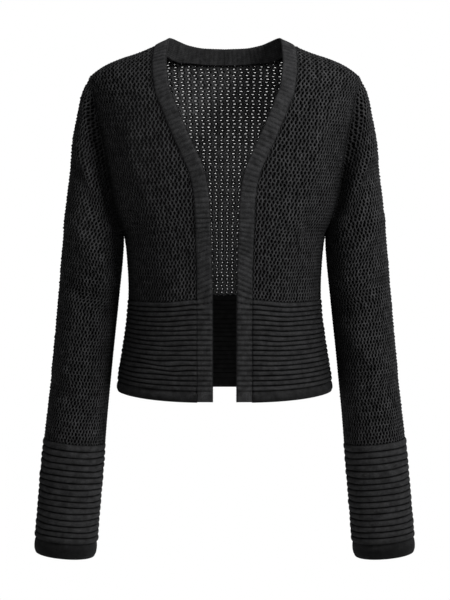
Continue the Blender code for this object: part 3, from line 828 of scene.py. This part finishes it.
def band_path():
    """The band's seam from the hem up and round the back neck, with its outward and inward directions."""
    z = HEM_Z + (NECK_SEAM_Z - HEM_Z) * (1 - (1 - np.linspace(0, 1, 500)) ** 2)
    up = on_body(front_seam_x(z), z, FRONT)
    x = NECK_SEAM_X * (1 - np.linspace(0, 1, 200) ** 2)
    round_neck = on_body(x, back_seam_z(x), BACK)[1:]
    up[-1, 1] = 0
    normal = np.concatenate([body_normals(up, FRONT), body_normals(round_neck, BACK)])
    seam = np.concatenate([up, round_neck])
    lengths = lengths_along(seam)
    shoulder = lengths[len(up) - 1]
    step = RIB_PITCH / 6
    count = int(round(lengths[-1] / step))
    where = np.linspace(0, lengths[-1], count + 1)
    seam, normal = along(seam, lengths, where), unit(along(normal, lengths, where))
    tangent = unit(np.gradient(seam, axis=0))
    tangent[-1] = [-1, 0, 0]
    inward = unit(np.cross(normal, tangent))
    beyond = np.clip((where - shoulder) / (lengths[-1] - shoulder), 0, 1)
    inward[:, 2] += BACK_NECK_LEAN * np.minimum(2 * beyond, 1)
    soft = np.hanning(19) / np.hanning(19).sum()
    mirrored_end = inward[:-20:-1] * [-1, 1, 1]
    padded = np.concatenate([np.repeat(inward[:1], 9, 0), inward, mirrored_end[1:10]])
    inward = unit(np.stack([np.convolve(c, soft, "valid") for c in padded.T], -1))
    seam, normal = folded(seam, normal)
    return seam, normal, inward, where, shoulder


BAND_COLUMNS = 14


def build_band(mesh, seed):
    seam, normal, inward, where, shoulder = band_path()
    share = np.linspace(0, 1, BAND_COLUMNS + 1)
    slant = 9.0 * ease((where - 115) / 40) * ease((250 - where) / 60)
    phase = (np.maximum(where - BAND_PLAIN, 0)[:, None] - slant[:, None] * share[None]) / RIB_PITCH
    points = seam[:, None] + BAND_WIDTH * share[None, :, None] * inward[:, None]
    drop = (neck_drop(seam[:, 0]) + 2.5) * ease((where - shoulder + 3) / 6)
    points[..., 2] -= drop[:, None] * (1 - share)
    points[-1, :, 0] = 0
    across = np.gradient(points, axis=1)
    down = np.gradient(points, axis=0)
    normals = unit(np.cross(across, down))
    normals *= np.sign((normals * normal[:, None]).sum(-1, keepdims=True).mean())
    uneven = 1 + 0.15 * wavy(where, seed, 4, 18.0)[:, None]
    rib = np.abs(np.sin(math.pi * phase)) ** 0.6
    fade = ease(share / 0.12) * ease((1 - share) / 0.12)
    dome = 0.6 * np.sin(math.pi * share) ** 0.6
    outer = -0.5 + dome[None] + (RIB_HEIGHT + 0.5) * rib * uneven * (0.35 + 0.65 * fade[None])
    # along the welt its rolls run on across the band, and the lowest part is plain
    rolls = (ROLL_HEIGHT + GROOVE_DEPTH) * np.abs(np.sin(math.pi * phase)) ** ROLL_ROUND
    rolls = np.where(where[:, None] < BAND_PLAIN, 1.7 * np.sqrt(np.clip(where[:, None] / 4, 0, 1)), rolls)
    rolls = -GROOVE_DEPTH + rolls * (0.4 + 0.6 * ease((1 - share) / 0.1))
    along_welt = ease((175 - where) / 45)[:, None]
    outer = outer + (rolls - outer) * along_welt
    inner = -0.3 + 0.7 * rib * uneven * (0.35 + 0.65 * fade[None])
    edge = unit(points[:, -1] - points[:, -2])
    grid_out = (points + normals * outer[..., None]).transpose(1, 0, 2)
    grid_in = (points - normals * (WALL + inner[..., None])).transpose(1, 0, 2)
    add_shell(mesh, grid_out, grid_in, (0 * edge, edge * 0.5), False)
    edge_path = Path(points[:, -1] - normals[:, -1] * 1.1, edge)
    chain(mesh, edge_path, 3.6, 0.65, 0.55, 0.1)


# ------------------------------------------------------------------ materials


ROUGHNESS = 0.8


def yarn_material(name, lightness, knit=None, near=1.8, inner_shade=None):
    """Matt black cotton, its colour darkened by painted shade from occlusion in grooves, holes and valleys.
    The map tells the net how deep a corner lies, and a knit where its stitches are.
    """
    material = bpy.data.materials.new(name)
    material.use_nodes = True
    tree = material.node_tree
    shader = tree.nodes["Principled BSDF"]
    shader.inputs["Specular IOR Level"].default_value = 0.12
    shader.inputs["Sheen Weight"].default_value = 0.06
    shader.inputs["Sheen Roughness"].default_value = 0.45
    shader.inputs["Sheen Tint"].default_value = (0.8, 0.82, 0.86, 1)

    def node(kind, **values):
        made = tree.nodes.new(kind)
        for key, value in values.items():
            setattr(made, key, value)
        return made

    def math_node(operation, *values):
        made = node("ShaderNodeMath", operation=operation)
        for slot, value in zip(made.inputs, values):
            if isinstance(value, (int, float)):
                slot.default_value = value
            else:
                tree.links.new(value, slot)
        return made.outputs[0]

    place = node("ShaderNodeTexCoord").outputs["Object"]

    def noise(scale, detail):
        made = node("ShaderNodeTexNoise")
        made.inputs["Scale"].default_value = scale
        made.inputs["Detail"].default_value = detail
        tree.links.new(place, made.inputs["Vector"])
        return made.outputs["Fac"]

    speckle = noise(900, 3)
    mixed = math_node("MULTIPLY", speckle, noise(110, 4))
    ramp = node("ShaderNodeValToRGB")
    ramp.color_ramp.elements[0].position = 0.1
    ramp.color_ramp.elements[0].color = (lightness * 0.4, lightness * 0.4, lightness * 0.41, 1)
    ramp.color_ramp.elements[1].position = 0.45
    ramp.color_ramp.elements[1].color = (lightness * 1.9, lightness * 1.9, lightness * 1.96, 1)
    tree.links.new(mixed, ramp.inputs["Fac"])

    def painted_occlusion_shade(reach, power):
        """Painted shade from occlusion within this reach: 1 on the yarn's tops, towards 0 in grooves and
        valleys.
        """
        made = node("ShaderNodeAmbientOcclusion", samples=6)
        made.inputs["Distance"].default_value = reach
        return math_node("POWER", made.outputs["AO"], power)

    # painted shade: occlusion within 4 mm darkens the yarn's grooves and holes, within 120 mm the valleys,
    # sides and inside of the jacket; near is the power of the first
    painted_shade = math_node("MULTIPLY", painted_occlusion_shade(0.004, near), painted_occlusion_shade(0.12, 2.0))
    spot = node("ShaderNodeSeparateXYZ")
    tree.links.new(node("ShaderNodeUVMap", uv_map="yarn").outputs["UV"], spot.inputs["Vector"])
    u, v = spot.outputs["X"], spot.outputs["Y"]
    if inner_shade:
        # the inside of a welt or cuff lies in the jacket's own shade
        within = node("ShaderNodeMapRange")
        for key, value in (("From Min", 170), ("From Max", 190), ("To Min", 1), ("To Max", inner_shade)):
            within.inputs[key].default_value = value
        tree.links.new(v, within.inputs["Value"])
        painted_shade = math_node("MULTIPLY", painted_shade, within.outputs["Result"])
    if not knit:
        # painted light by depth in the cell: painted highlight on the yarn's crown between the cells and on
        # open cells' inner faces, painted shade in the holes, and near black on closed cells' inner faces
        # where the front shades them
        painted_crown_light_and_shade = node("ShaderNodeValToRGB")
        for place_u, level in ((0.0, 1.6), (0.2, 1.1), (0.38, 0.45), (0.6, 0.25), (0.8, 1.9), (0.95, 0.02)):
            stop = painted_crown_light_and_shade.color_ramp.elements.new(place_u)
            stop.color = (level / 2, level / 2, level / 2, 1)
        painted_crown_light_and_shade.color_ramp.elements.remove(painted_crown_light_and_shade.color_ramp.elements[0])
        painted_crown_light_and_shade.color_ramp.elements[-1].color = (0.01, 0.01, 0.01, 1)
        tree.links.new(u, painted_crown_light_and_shade.inputs["Fac"])
        painted_shade = math_node("MULTIPLY", painted_shade, math_node("MULTIPLY", painted_crown_light_and_shade.outputs["Color"], 2.0))
    if knit:
        wale, course = knit
        x = math_node("FRACT", math_node("DIVIDE", u, wale))
        leg = math_node("PINGPONG", x, 0.5)
        climb = math_node("ADD", math_node("DIVIDE", v, course), math_node("MULTIPLY", leg, 1.5))
        stripe = math_node("SINE", math_node("MULTIPLY", climb, 2 * math.pi))
        bulge = math_node("SINE", math_node("MULTIPLY", leg, 2 * math.pi))
        height = math_node("ADD", math_node("MULTIPLY", stripe, 0.5), bulge)
        depth = 0.0005
        # painted shade and highlight: the stitches' hollows darker, their tops lighter
        painted_stitch_shade = node("ShaderNodeMapRange")
        for key, value in (("From Min", -0.5), ("From Max", 1.5), ("To Min", 0.4), ("To Max", 1.45)):
            painted_stitch_shade.inputs[key].default_value = value
        tree.links.new(height, painted_stitch_shade.inputs["Value"])
        painted_shade = math_node("MULTIPLY", painted_shade, painted_stitch_shade.outputs["Result"])
    else:
        twist = math_node("ADD", math_node("MULTIPLY", u, 2.0), v)
        height = math_node("ABSOLUTE", math_node("SINE", math_node("MULTIPLY", twist, math.pi)))
        depth = 0.00022
    # the yarn's colour times all the painted shade and highlight above
    painted_shade_colour = node("ShaderNodeVectorMath", operation="SCALE")
    tree.links.new(ramp.outputs["Color"], painted_shade_colour.inputs[0])
    tree.links.new(painted_shade, painted_shade_colour.inputs["Scale"])
    tree.links.new(painted_shade_colour.outputs["Vector"], shader.inputs["Base Color"])
    rough = node("ShaderNodeMapRange")
    rough.inputs["To Min"].default_value = ROUGHNESS - 0.08
    rough.inputs["To Max"].default_value = ROUGHNESS + 0.1
    tree.links.new(speckle, rough.inputs["Value"])
    tree.links.new(rough.outputs["Result"], shader.inputs["Roughness"])

    height = math_node("ADD", height, math_node("MULTIPLY", noise(2200, 2), 0.5))
    bump = node("ShaderNodeBump")
    bump.inputs["Strength"].default_value = 0.6
    bump.inputs["Distance"].default_value = depth
    tree.links.new(height, bump.inputs["Height"])
    tree.links.new(bump.outputs["Normal"], shader.inputs["Normal"])
    return material


mesh_yarn = yarn_material("mesh_yarn", 0.05)
roll_yarn = yarn_material("roll_yarn", 0.04, (2.4, 1.9), near=2.2, inner_shade=0.2)
band_yarn = yarn_material("band_yarn", 0.045, (2.2, 2.0), near=2.2)

# ------------------------------------------------------------------ the pieces

back_cloth = body_cloth(BACK)
front_cloth = body_cloth(FRONT)
arm = sleeve_surface()
arm_cloth = sleeve_cloth(arm)

OPEN = Net(0.34, 0.2, 0.38, 0.8, 0.36, 0.76, 0)
UPPER_HOLES = Net(0.17, 0.12, 0.4, 0.45, 0.27, 0.13, 0)
LOWER_HOLES = Net(0.15, 0.12, 0.4, 0.45, 0.17, 0.12, 0)
CLOSE = Net(0.17, 0.12, 0.3, 0.3, 0.04, 0.03, 0)
# closed cells, as painted shade: a dark cap in each hole and the inner face painted near black
SHUT_PAINTED_SHADE = Net(0.34, 0.2, 0.38, 0.7, 0.3, 0.5, 1)


def blend(first, second, share):
    return Net(*(a + (b - a) * share for a, b in zip(first, second)))


def front_net(wale, place):
    return Net(*(value + 0 * wale for value in OPEN))


def back_net_at(wale, place):
    """Small holes where the front opening shows the back; behind the fronts the cells are closed, as painted
    shade: dark caps in their holes and inner faces painted near black.
    """
    x, z = np.abs(place[..., 0]), place[..., 2]
    small = blend(UPPER_HOLES, LOWER_HOLES, ease((-110 - z) / 130))
    behind = ease((x - front_seam_x(z) + 10) / 8)
    under_band = ease((z - net_top_z(x) + 7) / 3) * (x < NECK_SEAM_X)
    return blend(blend(small, CLOSE, under_band), SHUT_PAINTED_SHADE, behind)


def sleeve_net(wale, place):
    """Open on the sleeve's front half; on its back half the cells are closed, as painted shade: dark caps in
    their holes and inner faces painted near black.
    """
    return blend(OPEN, SHUT_PAINTED_SHADE, ease(0.5 - np.sin(2 * math.pi * wale / SLEEVE_WALES) * 3))


def declare(piece, nodes):
    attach(piece, "root")
    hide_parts(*nodes)


WELT_LENGTH = 131.0
CUFF_LENGTH = 156.0
STITCH = 4.2

net = Mesh()
mesh_net(net, back_cloth, (-BACK_WALES, BACK_WALES), 110, back_net_at, 11)
side_rows = np.linspace(0, 19.2, 60)
for side in (-1, 1):
    seam = seam_on(back_cloth, np.full(60, side * BACK_WALES * 0.9999), side_rows)
    chain(net, seam, STITCH, 1.2, 0.9, -0.2)
ridge_x = np.linspace(NECK_SEAM_X, SHOULDER_TIP_X, 60)
ridge = np.stack([ridge_x, 0 * ridge_x, ridge_z(ridge_x)], -1)
for side in (-1, 1):
    line = ridge * [side, 1, 1]
    chain(net, Path(line, body_normals(line, FRONT)), STITCH, 1.3, 0.95, -0.2)
back_net = add_piece("back_mesh", net, mesh_yarn)
declare(back_net, ["back_panel"])

for side, turned in (("left", False), ("right", True)):
    seed = 200 if turned else 100
    net = Mesh()
    mesh_net(net, front_cloth, (0, FRONT_WALES), 110, front_net, seed + 1)
    piece = add_piece(side + "_front_mesh", net, mesh_yarn, turned)
    declare(piece, [side + "_front_panel"])

    net = Mesh()
    mesh_net(net, arm_cloth, (0, SLEEVE_WALES), 125, sleeve_net, seed + 2)
    hole = np.linspace(0, TURNS, 241)
    points, normals, _ = arm.at(hole, np.zeros_like(hole))
    chain(net, Path(points, normals), STITCH, 1.3, 0.95, -0.2)
    under = np.linspace(0, SLEEVE_RINGS, 120)
    points, normals, _ = arm.at(np.full_like(under, TURNS / 2), under)
    chain(net, Path(points, normals), STITCH, 1.2, 0.9, -0.3)
    piece = add_piece(side + "_sleeve_mesh", net, mesh_yarn, turned)
    halves = [side + "_sleeve_front", side + "_sleeve_back"]
    declare(piece, halves)

    shell = Mesh()
    row_shares, phase, rolled = roll_rows(CUFF_ROLLS, CUFF_LENGTH, CUFF_PLAIN)
    turn = np.arange(0, TURNS, 2.0)
    place = SLEEVE_RINGS + (ALL_RINGS - SLEEVE_RINGS) * row_shares
    grid_turn, grid_place = np.meshgrid(turn, place)
    drift = roll_drift(60 * np.sin(turn * 2 * math.pi / TURNS)[None] + 40, phase, seed + 7)
    grid_place = grid_place + drift * 1.6 * (ALL_RINGS - SLEEVE_RINGS) / CUFF_LENGTH
    points, normals, _ = arm.at(grid_turn, grid_place)
    rolled_wall(shell, points, normals, phase, rolled, seed + 3, True)
    piece = add_piece(side + "_cuff_knit", shell, roll_yarn, turned)
    declare(piece, [side + "_cuff"])

    shell = Mesh()
    row_shares, phase, rolled = roll_rows(WELT_ROLLS, WELT_LENGTH, WELT_PLAIN)
    points, normals = welt_grid(FRONT, np.linspace(0, 1, 44), row_shares, phase, seed + 6)
    rolled_wall(shell, points, normals, phase, rolled, seed + 4, False)
    piece = add_piece(side + "_front_welt_knit", shell, roll_yarn, turned)
    declare(piece, [side + "_front_welt"])

    shell = Mesh()
    build_band(shell, seed + 5)
    piece = add_piece(side + "_band_knit", shell, band_yarn, turned)
    declare(piece, [side + "_band"])

shell = Mesh()
row_shares, phase, rolled = roll_rows(WELT_ROLLS, WELT_LENGTH, WELT_PLAIN)
points, normals = welt_grid(BACK, np.linspace(0, 1, 50), row_shares, phase, 36)
flip = np.array([-1, 1, 1])
points = np.concatenate([points[:, :0:-1] * flip, points], axis=1)
normals = np.concatenate([normals[:, :0:-1] * flip, normals], axis=1)
rolled_wall(shell, points[:, ::-1], normals[:, ::-1], phase, rolled, 31, False)
piece = add_piece("back_welt_knit", shell, roll_yarn)
declare(piece, ["back_welt"])

# ------------------------------------------------------------------ floor, light and camera


def stage_material(name, colour, strength):
    material = bpy.data.materials.new(name)
    material.use_nodes = True
    shader = material.node_tree.nodes["Principled BSDF"]
    shader.inputs["Base Color"].default_value = (*colour, 1)
    shader.inputs["Roughness"].default_value = 0.9
    shader.inputs["Emission Color"].default_value = (1, 1, 1, 1)
    shader.inputs["Emission Strength"].default_value = strength
    return material


def area_light(name, place, target, size, power):
    data = bpy.data.lights.new(name, "AREA")
    data.shape = "RECTANGLE"
    data.size, data.size_y = size
    data.energy = power
    lamp = bpy.data.objects.new(name, data)
    lamp.location = place
    aim = np.array(target, float) - np.array(place, float)
    yaw = math.atan2(-aim[0], aim[1])
    pitch = math.atan2(aim[2], math.hypot(aim[0], aim[1]))
    lamp.rotation_euler = (math.pi / 2 + pitch, 0, yaw)
    bpy.context.scene.collection.objects.link(lamp)


FLOOR_HALF = 2.4
FLOOR_Z = -1.35
floor_corners = [(x * FLOOR_HALF, y * FLOOR_HALF, FLOOR_Z) for x, y in ((-1, -1), (1, -1), (1, 1), (-1, 1))]
floor_mesh = bpy.data.meshes.new("floor")
floor_mesh.from_pydata(floor_corners, [], [(0, 1, 2, 3)])
floor_mesh.materials.append(stage_material("floor", (0.9, 0.9, 0.9), 0.12))
floor = bpy.data.objects.new("floor", floor_mesh)
bpy.context.scene.collection.objects.link(floor)

area_light("key", (1.45, -1.3, 1.25), (0, 0, 0), (0.6, 0.6), 38)
area_light("fill", (0.0, -2.4, 1.3), (0, 0, 0), (1.0, 1.0), 9)
area_light("top", (0.2, -0.9, 2.4), (0, 0, -0.2), (1.2, 1.2), 4)
area_light("rear", (1.2, 2.6, 0.8), (0, 0, -0.3), (1.4, 1.4), 12)

world = bpy.data.worlds.new("studio")
world.use_nodes = True
tree = world.node_tree
seen = tree.nodes["Background"]
seen.inputs["Color"].default_value = (1, 1, 1, 1)
seen.inputs["Strength"].default_value = 1.0
dim = tree.nodes.new("ShaderNodeBackground")
dim.inputs["Color"].default_value = (1, 1, 1, 1)
dim.inputs["Strength"].default_value = 0.035
switch = tree.nodes.new("ShaderNodeMixShader")
ray = tree.nodes.new("ShaderNodeLightPath")
tree.links.new(ray.outputs["Is Camera Ray"], switch.inputs[0])
tree.links.new(dim.outputs[0], switch.inputs[1])
tree.links.new(seen.outputs[0], switch.inputs[2])
tree.links.new(switch.outputs[0], tree.nodes["World Output"].inputs["Surface"])
bpy.context.scene.world = world
bpy.context.scene.view_settings.view_transform = "Standard"

camera_data = bpy.data.cameras.new("camera")
camera_data.sensor_width = 36
camera_data.lens = 113.4
camera = bpy.data.objects.new("camera", camera_data)
camera.location = (0.0005, -2.6, -0.2)
camera.rotation_euler = (math.radians(90 - 3.464), 0, 0)
bpy.context.scene.collection.objects.link(camera)
bpy.context.scene.camera = camera
